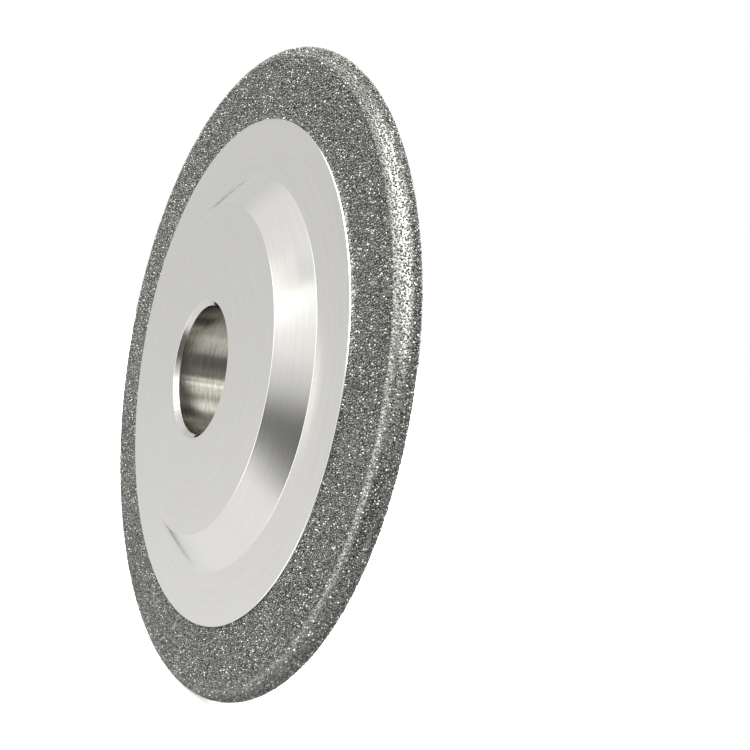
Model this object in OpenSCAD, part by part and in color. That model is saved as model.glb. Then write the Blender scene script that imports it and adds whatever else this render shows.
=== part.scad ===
// Diamond grinding wheel: a turned steel wheel with a raised hub and a bored centre.
// Its outer band and rounded rim are plated with nickel, which holds one layer of
// diamond crystals. The wheel turns about Y. The hub's tall side faces -Y, and the
// origin lies on the bore's axis, halfway through the rim.

/* [Wheel] */
// Diameter over the tips of the diamond crystals
wheel_d = 127; // [110:1:160]
// Thickness of the rim over the tips of the crystals
rim_w = 5.2; // [4.4:0.1:6]

/* [Hub] */
// Bore for the arbor
bore_d = 25.4; // [20:0.1:32]
// Chamfer at both mouths of the bore
bore_chamfer = 0.9; // [0.3:0.1:1.5]
// Diameter of the clamp faces
hub_face_d = 64.8; // [56:0.1:70]
// Diameter at the foot of the tall side's cone
hub_foot_d = 78; // [74:0.1:86]
// Height of the front clamp face over the middle of the rim
hub_front_h = 7.45; // [6:0.05:10]
// Length of the hub from clamp face to clamp face
hub_len = 12.7; // [12:0.1:16]

/* [Flange] */
// Diameter of the bare metal ring around the hub
flange_d = 99.2; // [92:0.1:102]
// Thickness of the wheel at the bare metal ring
flange_w = 5.7; // [5.5:0.1:7]
// Bevel round the outer edge of the ring
flange_bevel = 0.12; // [0.06:0.02:0.3]

/* [Plating] */
// Thickness of the nickel layer
nickel_t = 0.3; // [0.2:0.05:0.4]
// Size of one diamond crystal
crystal_d = 0.44; // [0.3:0.02:0.5]
// How far a crystal stands out of the nickel
crystal_proud = 0.18; // [0.1:0.02:0.24]
// Crystals shown on each flat band
band_crystals = 240; // [60:10:400]
// Crystals shown on the rounded rim
rim_crystals = 320; // [60:10:500]

/* [Hidden] */
$fn = 180;
bore_r = bore_d / 2;
hub_face_r = hub_face_d / 2;
hub_foot_r = hub_foot_d / 2;
hub_back_h = hub_len - hub_front_h;
flange_r = flange_d / 2;
flange_h = flange_w / 2;
// The nickel's outer surface lies under the crystals' tips, and the blank lies under it
nickel_rim_r = rim_w / 2 - crystal_proud;
blank_rim_r = nickel_rim_r - nickel_t;
// Radius of the circle that the rim's half-round section is centred on
rim_centre_r = wheel_d / 2 - rim_w / 2;
// The short side's cone rises at 45 degrees
back_foot_r = hub_face_r + hub_back_h - flange_h;
// Depth of a crystal's middle under the tips
crystal_depth = crystal_d / 2;
// Turn between neighbouring crystals, the golden angle, which spreads them evenly
golden = 137.508;
// Bare margin between the flange's edge and the first crystals
crystal_margin = crystal_d;
seed_front = 11;
seed_rim = 23;
seed_back = 37;

// Turns a section drawn in radius and height about the wheel's axis, tall side to -Y
module turned() {
    rotate([90, 0, 0]) rotate_extrude() children();
}

// Section of the rim and band, out from the radius r_in, with a half-round edge
module rim_section(r_in, half_w) {
    translate([r_in, -half_w]) square([rim_centre_r - r_in, 2 * half_w]);
    translate([rim_centre_r, 0]) circle(r = half_w);
}

module wheel_body() {
    color("silver") turned() {
        polygon([
            [bore_r, bore_chamfer - hub_back_h],
            [bore_r + bore_chamfer, -hub_back_h],
            [hub_face_r, -hub_back_h],
            [back_foot_r, -flange_h],
            [flange_r - flange_bevel, -flange_h],
            [flange_r, flange_bevel - flange_h],
            [flange_r, flange_h - flange_bevel],
            [flange_r - flange_bevel, flange_h],
            [hub_foot_r, flange_h],
            [hub_face_r, hub_front_h],
            [bore_r + bore_chamfer, hub_front_h],
            [bore_r, hub_front_h - bore_chamfer]
        ]);
        rim_section(hub_foot_r, blank_rim_r);
    }
}

module nickel_bond() {
    color("dimgray") turned() difference() {
        rim_section(flange_r, nickel_rim_r);
        rim_section(flange_r - 1, blank_rim_r);
    }
}

// One blocky crystal, a hexagonal prism tipped by the three angles in tip
module crystal(tip) {
    rotate(tip) cylinder(d = crystal_d, h = 0.86 * crystal_d, center = true, $fn = 6);
}

// Crystals over one flat band, at side 1 for the front and -1 for the back
module band_of_crystals(side, seed) {
    r_in = flange_r + crystal_margin;
    tips = rands(-90, 90, 3 * band_crystals, seed);
    color("gainsboro") rotate([90, 0, 0]) for (i = [0 : band_crystals - 1]) {
        part = (i + 0.5) / band_crystals;
        r = sqrt(r_in ^ 2 + (rim_centre_r ^ 2 - r_in ^ 2) * part);
        rotate([0, 0, golden * i])
            translate([r, 0, side * (rim_w / 2 - crystal_depth)])
                crystal([tips[3 * i], tips[3 * i + 1], tips[3 * i + 2]]);
    }
}

module diamonds_front() {
    band_of_crystals(1, seed_front);
}

module diamonds_back() {
    band_of_crystals(-1, seed_back);
}

// Crystals round the half-round edge, each set out along the section's own radius
module diamonds_rim() {
    tips = rands(-90, 90, 3 * rim_crystals, seed_rim);
    color("gainsboro") rotate([90, 0, 0]) for (i = [0 : rim_crystals - 1]) {
        lean = 180 * (i + 0.5) / rim_crystals - 90;
        rotate([0, 0, golden * i])
            translate([rim_centre_r, 0, 0])
                rotate([0, -lean, 0])
                    translate([rim_w / 2 - crystal_depth, 0, 0])
                        crystal([tips[3 * i], tips[3 * i + 1], tips[3 * i + 2]]);
    }
}

wheel_body();
nickel_bond();
diamonds_front();
diamonds_rim();
diamonds_back();
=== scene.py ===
"""Diamond grinding wheel: the turned steel body, its nickel layer and a full layer of
diamond crystals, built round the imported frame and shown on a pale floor."""

import math

import bpy
import numpy as np
from mathutils import Matrix, Vector


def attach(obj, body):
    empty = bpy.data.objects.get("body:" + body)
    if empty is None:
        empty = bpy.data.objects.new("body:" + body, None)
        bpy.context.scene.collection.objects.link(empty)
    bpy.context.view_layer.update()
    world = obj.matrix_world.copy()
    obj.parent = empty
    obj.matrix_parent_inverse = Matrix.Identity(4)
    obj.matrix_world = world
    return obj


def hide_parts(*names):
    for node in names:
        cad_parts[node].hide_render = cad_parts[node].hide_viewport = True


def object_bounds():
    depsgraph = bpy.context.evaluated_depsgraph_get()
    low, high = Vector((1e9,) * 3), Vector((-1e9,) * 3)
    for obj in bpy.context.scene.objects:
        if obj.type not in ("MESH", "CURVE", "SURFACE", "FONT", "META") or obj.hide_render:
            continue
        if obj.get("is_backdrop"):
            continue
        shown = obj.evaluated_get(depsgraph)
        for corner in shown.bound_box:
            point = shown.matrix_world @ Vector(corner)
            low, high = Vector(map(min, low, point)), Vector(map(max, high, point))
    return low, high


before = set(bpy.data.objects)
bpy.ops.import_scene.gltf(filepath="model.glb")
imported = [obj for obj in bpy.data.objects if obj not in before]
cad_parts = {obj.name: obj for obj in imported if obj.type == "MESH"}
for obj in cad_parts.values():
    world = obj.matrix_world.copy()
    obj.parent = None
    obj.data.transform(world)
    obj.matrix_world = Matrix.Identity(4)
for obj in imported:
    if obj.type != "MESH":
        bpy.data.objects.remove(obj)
cad_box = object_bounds()

MM = 0.001

# ---------------------------------------------------------------- the wheel's own sizes
# The wheel turns about Y. Heights are measured along -Y, towards the tall side of the hub.


def radii_and_heights(node):
    """Radius from the axis and height towards -Y of every vertex of a CAD node."""
    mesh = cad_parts[node].data
    points = np.empty(len(mesh.vertices) * 3)
    mesh.vertices.foreach_get("co", points)
    points = points.reshape(-1, 3)
    return np.hypot(points[:, 0], points[:, 2]), -points[:, 1]


# Two CAD points this close count as being at the same radius or height
NEAR = 0.01 * MM
body_r, body_h = radii_and_heights("wheel_body")
bond_r, bond_h = radii_and_heights("nickel_bond")

hub_front_h = body_h.max()
hub_back_h = body_h.min()
bore_r = body_r.min()
hub_face_r = body_r[body_h > hub_front_h - NEAR].max()
mouth_r = body_r[body_h > hub_front_h - NEAR].min()
chamfer = mouth_r - bore_r

flange_r = bond_r.min()
at_flange = (body_r > hub_face_r + 1 * MM) & (body_r < flange_r + NEAR)
flange_h = max(body_h[at_flange & (body_r > 0.95 * flange_r)])
front_ring = body_r[at_flange & (abs(body_h - flange_h) < NEAR)]
back_ring = body_r[at_flange & (abs(body_h + flange_h) < NEAR)]
hub_foot_r, bevel_r = front_ring.min(), front_ring.max()
back_foot_r = back_ring.min()

nickel_rim_r = bond_h.max()
rim_centre_r = bond_r.max() - nickel_rim_r
blank_rim_r = body_r.max() - rim_centre_r
wheel_r = max(cad_box[1].x, cad_box[1].z)

# ---------------------------------------------------------------- meshes


def piece_from(name, points, faces, node):
    """A piece from an array of points and a list of face arrays, one for each face size.
    It rides on the wheel and stands for the CAD node that is named."""
    mesh = bpy.data.meshes.new(name)
    corners = np.concatenate([f.ravel() for f in faces])
    sizes = np.concatenate([np.full(len(f), f.shape[1]) for f in faces])
    mesh.vertices.add(len(points))
    mesh.vertices.foreach_set("co", np.asarray(points, np.float32).ravel())
    mesh.loops.add(len(corners))
    mesh.loops.foreach_set("vertex_index", corners.astype(np.int32))
    mesh.polygons.add(len(sizes))
    mesh.polygons.foreach_set("loop_start", (np.cumsum(sizes) - sizes).astype(np.int32))
    mesh.polygons.foreach_set("loop_total", sizes.astype(np.int32))
    mesh.update(calc_edges=True)
    mesh.validate()
    piece = bpy.data.objects.new(name, mesh)
    bpy.context.scene.collection.objects.link(piece)
    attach(piece, "root")
    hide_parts(node)
    return piece


def turned(section, steps):
    """Points and faces of a closed section turned about Y: each section point (radius r,
    height h) goes to (r cos t, -h, r sin t) for evenly spaced turns t. The section runs
    anticlockwise in r and h, so that the faces point outwards."""
    turn = np.linspace(0, 2 * np.pi, steps, endpoint=False)[:, None]
    r, h = section[:, 0], section[:, 1]
    points = np.stack([r * np.cos(turn), -h + 0 * turn, r * np.sin(turn)], -1)
    count = len(section)
    here = np.arange(steps)[:, None] * count + np.arange(count)
    on = np.roll(here, -1, 1)
    faces = np.stack([here, on, np.roll(on, -1, 0), np.roll(here, -1, 0)], -1)
    return points.reshape(-1, 3), faces.reshape(-1, 4)


# A corner is cut back by no more than this share of its shorter side, and its support
# points reach no further along than this share
MOST_CUT, MOST_REACH = 0.3, 0.15


def rounded(corners, fillet, arc_steps, support):
    """A closed section with its corners rounded. Each corner is cut back by the fillet and
    bridged by a quadratic curve that starts and ends along its two sides, with a support
    point on each side to keep the flat beyond it flat."""
    corners = np.asarray(corners, float)
    to_last = np.roll(corners, 1, 0) - corners
    to_next = np.roll(corners, -1, 0) - corners
    last_len = np.linalg.norm(to_last, axis=1, keepdims=True)
    next_len = np.linalg.norm(to_next, axis=1, keepdims=True)
    cut = np.minimum(fillet, MOST_CUT * np.minimum(last_len, next_len))
    start = corners + to_last / last_len * cut
    end = corners + to_next / next_len * cut
    t = np.linspace(0, 1, arc_steps)[None, :, None]
    arcs = (
        (1 - t) ** 2 * start[:, None]
        + 2 * t * (1 - t) * corners[:, None]
        + t**2 * end[:, None]
    )
    reach = np.minimum(support, MOST_REACH * np.minimum(last_len, next_len))
    before = (start + to_last / last_len * reach)[:, None]
    after = (end + to_next / next_len * reach)[:, None]
    return np.concatenate([before, arcs, after], 1).reshape(-1, 2)


def half_round(centre_r, radius, steps):
    """Section points of a half circle that bulges outwards, from its low side to its high
    side: (centre + radius cos a, radius sin a) for a from -90 to 90 degrees."""
    a = np.linspace(-np.pi / 2, np.pi / 2, steps)
    return np.stack([centre_r + radius * np.cos(a), radius * np.sin(a)], -1)


# ---------------------------------------------------------------- steel body

EDGE_BREAK = 0.04 * MM
EDGE_STEPS = 5
BODY_TURNS = 512
BLANK_RIM_STEPS = 13


def steel_body():
    """The turned blank: bore, hub, ring and the web and rim that lie under the nickel."""
    low_side = [
        (bore_r, hub_back_h + chamfer),
        (mouth_r, hub_back_h),
        (hub_face_r, hub_back_h),
        (back_foot_r, -flange_h),
        (bevel_r, -flange_h),
        (flange_r, -flange_h + flange_r - bevel_r),
        (flange_r, -blank_rim_r),
    ]
    high_side = [
        (flange_r, blank_rim_r),
        (flange_r, flange_h - flange_r + bevel_r),
        (bevel_r, flange_h),
        (hub_foot_r, flange_h),
        (hub_face_r, hub_front_h),
        (mouth_r, hub_front_h),
        (bore_r, hub_front_h - chamfer),
    ]
    rim = half_round(rim_centre_r, blank_rim_r, BLANK_RIM_STEPS)
    corners = np.concatenate([low_side, rim, high_side])
    section = rounded(corners, EDGE_BREAK, EDGE_STEPS, EDGE_BREAK)
    points, faces = turned(section, BODY_TURNS)
    piece = piece_from("steel_body", points, [faces], "wheel_body")
    piece.data.shade_smooth()
    return piece


# ---------------------------------------------------------------- nickel layer

NICKEL_TURNS = 900
BAND_STEPS, RIM_STEPS, INNER_STEPS = 24, 21, 9
# The plating's thickness wavers by this much, over about this distance
NICKEL_LUMP = 0.035 * MM
LUMP_SIZE = 0.9 * MM
LUMP_SPREAD = (0.7, 1.6)
LUMP_WAVES = 14
NICKEL_SEED = 5


def lumps(points, size, seed):
    """Unevenness of the plating at each point, mostly from -1 to 1: twice the mean of sine
    waves that run in random directions with wavelengths near the given size."""
    rng = np.random.default_rng(seed)
    directions = rng.normal(size=(LUMP_WAVES, 3))
    directions /= np.linalg.norm(directions, axis=1, keepdims=True)
    lengths = size * rng.uniform(*LUMP_SPREAD, LUMP_WAVES)
    phases = rng.uniform(0, 2 * np.pi, LUMP_WAVES)
    angles = points @ (directions / lengths[:, None]).T * 2 * np.pi + phases
    return np.sin(angles).mean(1) * 2


def nickel_layer():
    """The plated shell: an outer skin over band, rim and back band, closed by an inner
    skin against the steel. Only the outer skin is uneven."""
    band = np.linspace(flange_r, rim_centre_r, BAND_STEPS)[:, None]
    low, high = np.full_like(band, -nickel_rim_r), np.full_like(band, nickel_rim_r)
    outer = np.concatenate(
        [
            np.concatenate([band, low], 1)[:-1],
            half_round(rim_centre_r, nickel_rim_r, RIM_STEPS),
            np.concatenate([band, high], 1)[::-1][1:],
        ]
    )
    inner = half_round(rim_centre_r, blank_rim_r, INNER_STEPS)[::-1]
    inner_edges = np.array([(flange_r, blank_rim_r), (flange_r, -blank_rim_r)])
    section = np.concatenate([outer, inner_edges[:1], inner, inner_edges[1:]])
    points, faces = turned(section, NICKEL_TURNS)
    # Outward direction of the skin: along Y on the bands, away from the rim's centre on it
    r = np.hypot(points[:, 0], points[:, 2])
    past = np.maximum(r - rim_centre_r, 0)
    out = np.stack([past * points[:, 0] / r, points[:, 1], past * points[:, 2] / r], -1)
    depth = np.linalg.norm(out, axis=1, keepdims=True)
    is_outer = np.tile(np.arange(len(section)) < len(outer), NICKEL_TURNS)[:, None]
    lift = NICKEL_LUMP * lumps(points, LUMP_SIZE, NICKEL_SEED)[:, None] * is_outer
    points = points + out / depth * lift
    piece = piece_from("nickel_layer", points, [faces], "nickel_bond")
    piece.data.shade_smooth()
    return piece


# ---------------------------------------------------------------- diamond crystals

CRYSTAL = 0.44 * MM
# Distance between neighbours, and their usual height over the nickel
PITCH = 0.45 * MM
STAND = 0.17 * MM
# Slope by which a crystal leans away from upright, as a standard deviation
LEAN = 0.25
# How far a crystal may stray from its place, in pitches, and the spread of the sizes,
# of the three proportions and of the height
STRAY = 0.34
SIZES = (0.78, 1.12)
PROPORTIONS = (0.8, 1.15)
SUNK, LIFTED = -0.05 * MM, 0.03 * MM
# Height of a crystal's top over its middle, as a share of its size
TOP = 0.4


def cube():
    """A cube with corners at distance 1, a face up: the first habit diamond grows in."""
    corners = np.array(list(np.ndindex(2, 2, 2))) * 2 - 1
    quads = [(0, 1, 3, 2), (4, 6, 7, 5), (0, 4, 5, 1), (2, 3, 7, 6), (0, 2, 6, 4), (1, 5, 7, 3)]
    return corners / math.sqrt(3), [np.array(quads)]


def octahedron():
    """An octahedron with corners at distance 1, a face up: the second habit. Its corners
    are a triangle over another, turned by half a corner: turn k/6, height 1/sqrt 3."""
    k = np.arange(6)
    side = np.where(k % 2, -1, 1) / math.sqrt(3)
    out = math.sqrt(2 / 3)
    corners = np.stack([out * np.cos(k * np.pi / 3), out * np.sin(k * np.pi / 3), side], -1)
    ends = [(0, 2, 4), (5, 3, 1)]
    around = [(i, (i + 1) % 6, (i + 2) % 6)[:: -1 if i % 2 == 0 else 1] for i in range(6)]
    return corners, [np.array(ends + around)]


def cuboctahedron():
    """A cube with its corners cut off at mid-edge, a square up: the habit between the
    two. Its corners are the points with one zero and two ones of either sign."""
    grid = np.array(list(np.ndindex(3, 3, 3))) - 1
    corners = grid[abs(grid).sum(1) == 2]
    squares, triangles = [], []
    for axis in range(3):
        for side in (-1, 1):
            squares.append(ring_of(corners, corners[:, axis] == side))
    for signs in np.ndindex(2, 2, 2):
        octant = np.array(signs) * 2 - 1
        triangles.append(ring_of(corners, (corners * octant >= 0).all(1)))
    return corners / math.sqrt(2), [np.array(squares), np.array(triangles)]


def ring_of(corners, chosen):
    """The chosen corners' numbers, in order anticlockwise as seen from outside."""
    numbers = np.flatnonzero(chosen)
    middle = corners[numbers].mean(0)
    spread = corners[numbers] - middle
    up = np.cross(middle, spread[0])
    return numbers[np.argsort(np.arctan2(spread @ up, spread @ spread[0]))]


# The habits, with the share of the crystals that grow in each
HABITS = [(cube, 0.4), (octahedron, 0.4), (cuboctahedron, 0.2)]


def leaning(rng, out, lean):
    """Rotation matrices that stand crystals on a surface with these outward directions:
    each leans by about the given slope and is turned at random about its own upright."""
    up = out + rng.normal(size=out.shape) * lean
    up /= np.linalg.norm(up, axis=1, keepdims=True)
    across = np.cross(up, rng.normal(size=out.shape))
    across /= np.linalg.norm(across, axis=1, keepdims=True)
    return np.stack([across, np.cross(up, across), up], -1)


def plated_surface(s):
    """Radius, height and outward direction on the nickel at distance s along its section:
    out over the front band, round the rim on an arc, and back in over the back band."""
    band = rim_centre_r - flange_r
    arc = np.pi * nickel_rim_r
    along_back = np.maximum(s - band - arc, 0)
    a = np.pi / 2 - np.clip((s - band) / nickel_rim_r, 0, np.pi)
    r = flange_r + np.minimum(s, band) - along_back + nickel_rim_r * np.cos(a)
    return r, nickel_rim_r * np.sin(a), np.cos(a), np.sin(a)


def crystal_field(name, node, start, end, seed):
    """A full layer of crystals between two distances along the plated section, set in
    rings a pitch apart, each crystal shifted, turned, sized and sunk at random."""
    rng = np.random.default_rng(seed)
    row_gap = PITCH * math.sqrt(3) / 2
    rows = np.arange(start + row_gap / 2, end, row_gap)
    counts = np.round(2 * np.pi * plated_surface(rows)[0] / PITCH).astype(int)
    row = np.repeat(np.arange(len(rows)), counts)
    place = np.arange(counts.sum()) - np.repeat(np.cumsum(counts) - counts, counts)
    phase = rng.uniform(0, 1, len(rows))[row]
    total = len(row)
    shift = rng.uniform(-STRAY, STRAY, (2, total))
    turn = 2 * np.pi * (place + phase + shift[0]) / counts[row]
    s = np.clip(rows[row] + shift[1] * PITCH, start, end)
    r, h, out_r, out_h = plated_surface(s)
    size = CRYSTAL * rng.uniform(*SIZES, total)
    rise = STAND - TOP * size + rng.uniform(SUNK, LIFTED, total)
    foot = np.stack([r * np.cos(turn), -h, r * np.sin(turn)], -1)
    out = np.stack([out_r * np.cos(turn), -out_h, out_r * np.sin(turn)], -1)
    centres = foot + out * rise[:, None]
    matrices = leaning(rng, out, LEAN)
    stretch = rng.uniform(*PROPORTIONS, (total, 3)) * size[:, None] / 2
    grain = rng.uniform(0, 1, total)
    edges = np.cumsum([0] + [share for _, share in HABITS]) * total
    order = rng.permutation(total)
    points, faces, tones, used = [], {3: [], 4: []}, [], 0
    for number, (habit, _) in enumerate(HABITS):
        corners, kinds = habit()
        mine = order[int(edges[number]) : int(edges[number + 1])]
        shape = corners[None] * stretch[mine][:, None, :]
        shape = np.einsum("nij,nkj->nki", matrices[mine], shape) + centres[mine][:, None]
        first = used + np.arange(len(mine))[:, None, None] * len(corners)
        for kind in kinds:
            faces[kind.shape[1]].append((first + kind[None]).reshape(-1, kind.shape[1]))
        points.append(shape.reshape(-1, 3))
        tones.append(np.repeat(grain[mine], len(corners)))
        used += len(mine) * len(corners)
    face_arrays = [np.concatenate(found) for found in faces.values() if found]
    piece = piece_from(name, np.concatenate(points), face_arrays, node)
    tone = piece.data.attributes.new("grain", "FLOAT", "POINT")
    tone.data.foreach_set("value", np.concatenate(tones).astype(np.float32))
    return piece


# ---------------------------------------------------------------- shader maths


class Wire:
    """A node's output. Arithmetic on it adds Math nodes to its tree."""

    def __init__(self, tree, socket):
        self.tree, self.socket = tree, socket

    def maths(self, operation, *values):
        settings = {"operation": operation}
        return self.tree.node("ShaderNodeMath", settings, dict(enumerate(values)))

    def __add__(self, other):
        return self.maths("ADD", self, other)

    def __sub__(self, other):
        return self.maths("SUBTRACT", self, other)

    def __rsub__(self, other):
        return self.maths("SUBTRACT", other, self)

    def __mul__(self, other):
        return self.maths("MULTIPLY", self, other)

    def __truediv__(self, other):
        return self.maths("DIVIDE", self, other)

    def __pow__(self, other):
        return self.maths("POWER", self, other)

    def __abs__(self):
        return self.maths("ABSOLUTE", self)

    __radd__, __rmul__ = __add__, __mul__

    def least(self, other):
        return self.maths("MINIMUM", self, other)

    def step(self, low, high):
        """0 below low, 1 above high, and a smooth rise between them."""
        settings = {"interpolation_type": "SMOOTHSTEP"}
        values = {"Value": self, "From Min": low, "From Max": high}
        return self.tree.node("ShaderNodeMapRange", settings, values)


class Tree:
    """A node tree that is being built, of a material or of the world."""

    def __init__(self, owner):
        owner.use_nodes = True
        self.owner, self.nodes, self.links = owner, owner.node_tree.nodes, owner.node_tree.links
        self.nodes.clear()

    def node(self, kind, settings=None, values=None, output=0):
        """Adds a node: its settings first, then its sockets' values or links. A ramp's
        stops are a list of (place, colour). Returns the output that is named."""
        made = self.nodes.new(kind)
        for name, value in (settings or {}).items():
            if name == "stops":
                self.set_stops(made.color_ramp, value)
            else:
                setattr(made, name, value)
        for name, value in (values or {}).items():
            if isinstance(value, Wire):
                self.links.new(value.socket, made.inputs[name])
            else:
                made.inputs[name].default_value = value
        return Wire(self, made.outputs[output]) if made.outputs else made

    @staticmethod
    def set_stops(ramp, stops):
        while len(ramp.elements) < len(stops):
            ramp.elements.new(1)
        for element, (place, colour) in zip(ramp.elements, stops):
            element.position = place
            element.color = (*colour, 1)

    def noise(self, vector, scale, detail, roughness):
        """Noise from 0 to 1."""
        values = {"Vector": vector, "Scale": scale, "Detail": detail, "Roughness": roughness}
        return self.node("ShaderNodeTexNoise", {"noise_dimensions": "3D"}, values)

    def ramp(self, factor, stops):
        return self.node("ShaderNodeValToRGB", {"stops": stops}, {"Fac": factor})

    def join(self, x, y, z):
        return self.node("ShaderNodeCombineXYZ", None, {"X": x, "Y": y, "Z": z})

    def bump(self, strength, distance, height):
        values = {"Strength": strength, "Distance": distance, "Height": height}
        return self.node("ShaderNodeBump", None, values)

    def blend(self, factor, first, second):
        """Two colours mixed: the first at factor 0, the second at factor 1. A Mix node has
        its colour sockets after those for numbers and vectors, so they go by number."""
        values = {0: factor, 6: first, 7: second}
        return self.node("ShaderNodeMix", {"data_type": "RGBA"}, values, 2)

    def finish(self, shader_values):
        """A Principled surface with these values, as the material's output."""
        surface = self.node("ShaderNodeBsdfPrincipled", None, shader_values)
        self.node("ShaderNodeOutputMaterial", None, {"Surface": surface})
        return self.owner


def new_finish(name):
    return Tree(bpy.data.materials.new(name))


# ---------------------------------------------------------------- finishes

# Distance from groove to groove, and the depths that the bumps stand for
GROOVE = 0.16 * MM
GROOVE_DEPTH = 0.006 * MM
NODULE_DEPTH = 0.05 * MM
# Scales of the noises, in lumps to the metre
CLOUDS_PER_M = 38
PATCHES_PER_M = 90
FACETS_PER_M = 700
NODULES_PER_M = 2600
DIAMOND_IOR = 2.42


def wheel_coordinates(tree):
    """Object coordinates, whole and in parts, and the radius from the wheel's axis."""
    place = tree.node("ShaderNodeTexCoord", None, None, "Object")
    parts = tree.node("ShaderNodeSeparateXYZ", None, {"Vector": place}).socket.node
    x, y, z = (Wire(tree, parts.outputs[k]) for k in range(3))
    radius = (x * x + z * z) ** 0.5
    return place, x, y, z, radius


def turned_steel():
    """Bright steel with the fine concentric grooves of a lathe tool, rougher in the bore. The
    bore's dark tone and the darkening at its mouth are painted shade.
    """
    tree = new_finish("turned_steel")
    place, x, y, z, radius = wheel_coordinates(tree)
    # Position across the grooves, in grooves: by radius on flats, by depth in the bore
    across = (radius + y * 2) / GROOVE
    # Slow change round the wheel, so that a groove isn't the same all the way round
    round_x, round_z = x / radius * 2.2, z / radius * 2.2
    streaks = tree.noise(tree.join(round_x, across * 0.22, round_z), 1, 3, 0.65)
    grooves = tree.noise(tree.join(round_x * 0.4, across, round_z * 0.4), 1, 2, 0.6)
    marks = tree.noise(tree.join(round_x * 2, across * 0.17, round_z * 2), 1, 3, 0.6)
    clouds = tree.noise(place, CLOUDS_PER_M, 3, 0.5)
    in_bore = 1 - radius.step(bore_r + 0.02 * chamfer, bore_r + 0.06 * chamfer)
    in_mouth = 1 - radius.step(mouth_r - 0.1 * chamfer, mouth_r)
    bright = [(0.25, (0.83, 0.82, 0.785)), (0.75, (0.90, 0.89, 0.852))]
    # Painted shade: a dark tone for the steel inside the bore
    painted_bore_shade = [(0.3, (0.20, 0.193, 0.167)), (0.7, (0.28, 0.272, 0.235))]
    tone = tree.ramp(streaks * 0.7 + clouds * 0.3, bright)
    # Painted shade: the chamfer at the bore's mouth is darkened a little towards black
    tone = tree.blend(in_mouth * 0.14, tone, (0, 0, 0, 1))
    tone = tree.blend(in_bore, tone, tree.ramp(marks, painted_bore_shade))
    roughness = 0.13 + (clouds - 0.5) * 0.04 + (streaks - 0.5) * 0.06 + in_bore * 0.06
    depth = grooves * 0.6 + streaks * 0.2 + in_bore * marks * 4.0
    normal = tree.bump(0.35, GROOVE_DEPTH, depth)
    values = {"Base Color": tone, "Metallic": 1.0, "Roughness": roughness, "Normal": normal}
    return tree.finish(values)


def plated_nickel():
    """Dull grey nickel, nodular between the crystals, with a painted highlight on the rim's
    shoulders.
    """
    tree = new_finish("plated_nickel")
    place, *_, radius = wheel_coordinates(tree)
    nodules = tree.noise(place, NODULES_PER_M, 3, 0.6)
    patches = tree.noise(place, PATCHES_PER_M, 2, 0.5)
    grey = [(0.38, (0.025, 0.025, 0.023)), (0.62, (0.265, 0.265, 0.248))]
    tone = tree.ramp(nodules * 0.9 + patches * 0.1, grey)
    # Distance out over the rounded edge, from 0 where it starts to 1 at its crest
    out = (radius - rim_centre_r) / nickel_rim_r
    # Painted highlight: a pale band over each shoulder of the rounded edge
    painted_shoulder_highlight = out.step(0.03, 0.22) * (1 - out.step(0.42, 0.74))
    tone = tree.blend(painted_shoulder_highlight * 0.27, tone, (0.9, 0.885, 0.83, 1))
    roughness = 0.38 + (patches - 0.5) * 0.2
    normal = tree.bump(0.9, NODULE_DEPTH, nodules)
    values = {"Base Color": tone, "Metallic": 1.0, "Roughness": roughness, "Normal": normal}
    return tree.finish(values)


def diamond_grit():
    """Synthetic diamond in a nickel bond: grey, a little greenish, each crystal with its
    own tone, and a few nearly white."""
    tree = new_finish("diamond_grit")
    place, *_ = wheel_coordinates(tree)
    grain = tree.node("ShaderNodeAttribute", {"attribute_name": "grain"}, None, "Fac")
    facets = tree.noise(place, FACETS_PER_M, 2, 0.5)
    greys = [
        (0.0, (0.023, 0.024, 0.022)),
        (0.5, (0.058, 0.060, 0.054)),
        (0.82, (0.12, 0.122, 0.112)),
        (1.0, (0.64, 0.64, 0.595)),
    ]
    tone = tree.ramp(grain * 0.85 + facets * 0.15, greys)
    roughness = 0.18 + facets * 0.20
    values = {"Base Color": tone, "Metallic": 0.6, "Roughness": roughness, "IOR": DIAMOND_IOR}
    return tree.finish(values)


# ---------------------------------------------------------------- stage, light and camera

WHITE = (1.0, 1.0, 1.0, 1)
# The floor's radius in radii of the wheel
FLOOR_RADII = 60
FLOOR_STEPS = 96


def towards(azimuth, elevation):
    """Unit vector at an azimuth, 0 at -Y and 90 at +X, and an elevation, in degrees."""
    a, e = math.radians(azimuth), math.radians(elevation)
    return Vector((math.sin(a) * math.cos(e), -math.cos(a) * math.cos(e), math.sin(e)))


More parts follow.
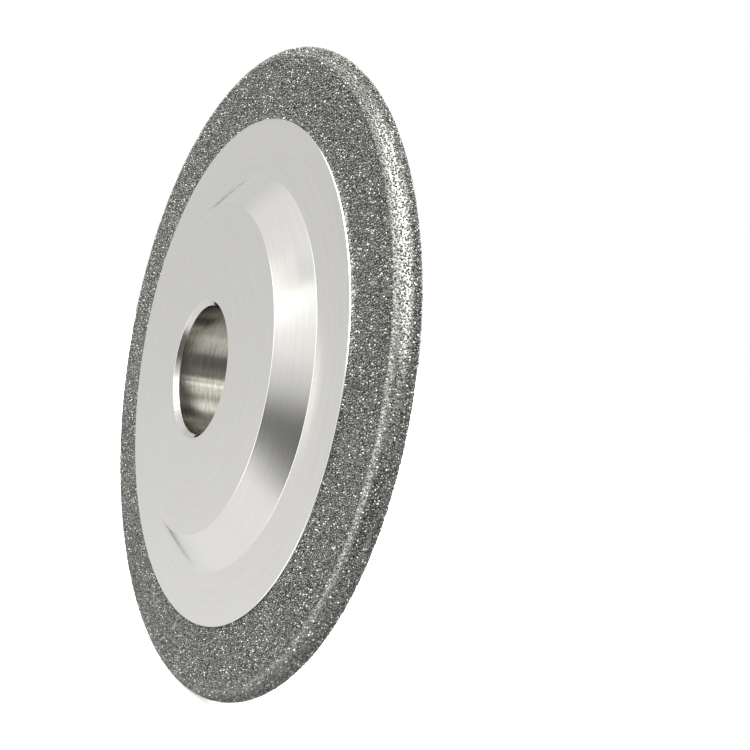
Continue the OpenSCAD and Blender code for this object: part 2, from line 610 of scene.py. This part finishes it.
def pale_floor():
    """A large round floor under the wheel, which glossy metal doesn't mirror."""
    turn = np.linspace(0, 2 * np.pi, FLOOR_STEPS, endpoint=False)
    radius = FLOOR_RADII * wheel_r
    height = np.full(FLOOR_STEPS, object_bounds()[0].z)
    points = np.stack([radius * np.cos(turn), radius * np.sin(turn), height], -1)
    mesh = bpy.data.meshes.new("floor")
    mesh.from_pydata(points.tolist(), [], [list(range(FLOOR_STEPS))])
    floor = bpy.data.objects.new("floor", mesh)
    bpy.context.scene.collection.objects.link(floor)
    floor.visible_glossy = False
    values = {
        "Base Color": (0.82, 0.82, 0.81, 1),
        "Roughness": 0.9,
        "Emission Color": WHITE,
        "Emission Strength": 0.3,
    }
    floor.data.materials.append(new_finish("pale_floor").finish(values))
    floor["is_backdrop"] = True


def studio():
    """A pale room, as the metal mirrors it: a bright window high on the right with lamps
    beside and above it, a dark table low on the right and a dimmer part behind the wheel.
    Left and right are those of someone who faces the tall side of the hub. The camera
    itself sees plain white."""
    tree = Tree(bpy.context.scene.world or bpy.data.worlds.new("studio"))
    bpy.context.scene.world = tree.owner
    look = tree.node("ShaderNodeTexCoord", None, None, "Generated")
    parts = tree.node("ShaderNodeSeparateXYZ", None, {"Vector": look}).socket.node
    across, up = Wire(tree, parts.outputs[0]), Wire(tree, parts.outputs[2])

    def facing(azimuth, elevation):
        """Cosine of the angle away from a direction."""
        values = {0: look, 1: towards(azimuth, elevation)}
        return tree.node("ShaderNodeVectorMath", {"operation": "DOT_PRODUCT"}, values, "Value")

    def patch(azimuth, elevation, edge, full):
        """A round patch, 0 outside its edge and 1 within the full part. Both are given as
        the cosine of the angle from its middle."""
        return facing(azimuth, elevation).step(edge, full)

    def over(low, high):
        """0 below one height and 1 above another. Heights are sines of the elevation."""
        return up.step(low, high)

    def slat(height):
        """A thin level strip of light."""
        return 1 - abs(up - height).step(0.01, 0.04)

    # The walls: lighter low on the left, dimmer high behind the wheel and far to the left
    low = patch(-30, -48, 0.4, 0.95) * (1 - over(-0.3, 0.25))
    behind = patch(128, 36, 0.80, 0.95)
    far_left = patch(-114, -10, 0.84, 0.97)
    room = 0.655 + low * 0.2 - behind * 0.4 - far_left * 0.24
    # The table: dark, low on the right, its top sloping up to the right
    table_top = 1 - (up - across * 0.18).step(-0.26, 0.04)
    table = patch(60, 0, 0.25, 0.53) * table_top * over(-0.72, -0.5)
    # The window with its bright core and side, and the wall left of it with a dim bar
    window = patch(54, 38, 0.66, 0.92) * over(0.12, 0.38)
    core = patch(60, 40, 0.78, 0.95) * over(0.24, 0.5)
    side = patch(86, 40, 0.86, 0.94) * over(0.2, 0.45)
    near_wall = patch(4, 12, 0.80, 0.985) * over(0.02, 0.22)
    left_wall = patch(-38, 42, 0.85, 0.985)
    past_bar = facing(82, 0)
    bar = past_bar.step(-0.2, 0.0) * (1 - past_bar.step(0.0, 0.02)) * patch(-8, 28, 0.85, 0.95)
    # Two lamps high in front, and a lit patch of the ceiling
    lamps = patch(16, 53, 0.91, 0.975) + patch(-8, 70, 0.89, 0.96) * 0.7
    roof = patch(100, 72, 0.90, 0.97)
    # An upright strip in front on the left, and a light far below on the right
    strip = (1 - abs(facing(66, 0)).step(0.15, 0.45)) * patch(-24, 0, 0.8, 0.92)
    below = (1 - over(-0.95, -0.6)) * patch(60, -60, 0.6, 0.9)
    # Behind on the right: two thin level slats, a low glow and a weakly lit wall
    slats = (slat(0.34) + slat(0.47)) * patch(113, 24, 0.93, 0.98)
    glow = patch(126, -38, 0.93, 0.98)
    back_wall = patch(135, -12, 0.80, 0.93)

    light = room * (1 - table * 0.8) + near_wall * 0.2 + left_wall * 0.14
    light = (light + window * 2.8 + core * 5.0 + side * 4.0) * (1 - bar * 0.45)
    light = light + strip * 2.0 + below * 0.9 + lamps * 7.5 + roof * 4.0
    light = light + slats * 4.5 + glow * 1.0 + back_wall * 0.25
    tint = tree.blend(window.least(1), WHITE, (1, 0.985, 0.955, 1))
    lit = tree.node("ShaderNodeBackground", None, {"Color": tint, "Strength": light})
    plain = tree.node("ShaderNodeBackground", None, {"Color": WHITE, "Strength": 1.0})
    seen = tree.node("ShaderNodeLightPath", None, None, "Is Camera Ray")
    both = tree.node("ShaderNodeMixShader", None, {0: seen, 1: lit, 2: plain})
    tree.node("ShaderNodeOutputWorld", None, {"Surface": both})
    bpy.context.scene.view_settings.view_transform = "Standard"


# The wheel is looked at from the right and a little above, with the camera rolled. The
# camera stands on one direction from the wheel's middle, at a distance in radii of the
# wheel, and its back points along another.
CAMERA_AZIMUTH, CAMERA_ELEVATION = 66.75, 3.49
CAMERA_DISTANCE = 3.1837
BACK_AZIMUTH, BACK_ELEVATION, ROLL = 57.52, 6.0, 11.03
LENS_MM, SENSOR_MM = 48.0, 36.0
SHIFT_X, SHIFT_Y = -0.0135, 0.0973
# Nearest and farthest that the camera sees, in radii of the wheel
CLIP_NEAR, CLIP_FAR = 0.1, 200


def camera():
    """The camera of the main view."""
    data = bpy.data.cameras.new("camera")
    data.lens, data.sensor_width = LENS_MM, SENSOR_MM
    data.shift_x, data.shift_y = SHIFT_X, SHIFT_Y
    data.clip_start, data.clip_end = CLIP_NEAR * wheel_r, CLIP_FAR * wheel_r
    back = towards(BACK_AZIMUTH, BACK_ELEVATION)
    level = Vector((0, 0, 1)).cross(back).normalized()
    lean = math.radians(ROLL)
    right = level * math.cos(lean) + back.cross(level) * math.sin(lean)
    turn = Matrix((right, back.cross(right), back)).transposed().to_4x4()
    spot = towards(CAMERA_AZIMUTH, CAMERA_ELEVATION) * CAMERA_DISTANCE * wheel_r
    made = bpy.data.objects.new("camera", data)
    made.matrix_world = Matrix.Translation(spot) @ turn
    bpy.context.scene.collection.objects.link(made)
    bpy.context.scene.camera = made


# ---------------------------------------------------------------- building

camera()
studio()

body = steel_body()
body.data.materials.append(turned_steel())
layer = nickel_layer()
layer.data.materials.append(plated_nickel())

band = rim_centre_r - flange_r
arc = math.pi * nickel_rim_r
grit = diamond_grit()
ZONES = [
    ("grit_front_inner", "diamonds_front", 0, band / 2),
    ("grit_front_outer", "diamonds_front", band / 2, band),
    ("grit_rim_front", "diamonds_rim", band, band + arc / 2),
    ("grit_rim_back", "diamonds_rim", band + arc / 2, band + arc),
    ("grit_back_outer", "diamonds_back", band + arc, band * 1.5 + arc),
    ("grit_back_inner", "diamonds_back", band * 1.5 + arc, 2 * band + arc),
]
for seed, (name, node, start, end) in enumerate(ZONES):
    crystal_field(name, node, start, end, seed).data.materials.append(grit)

pale_floor()
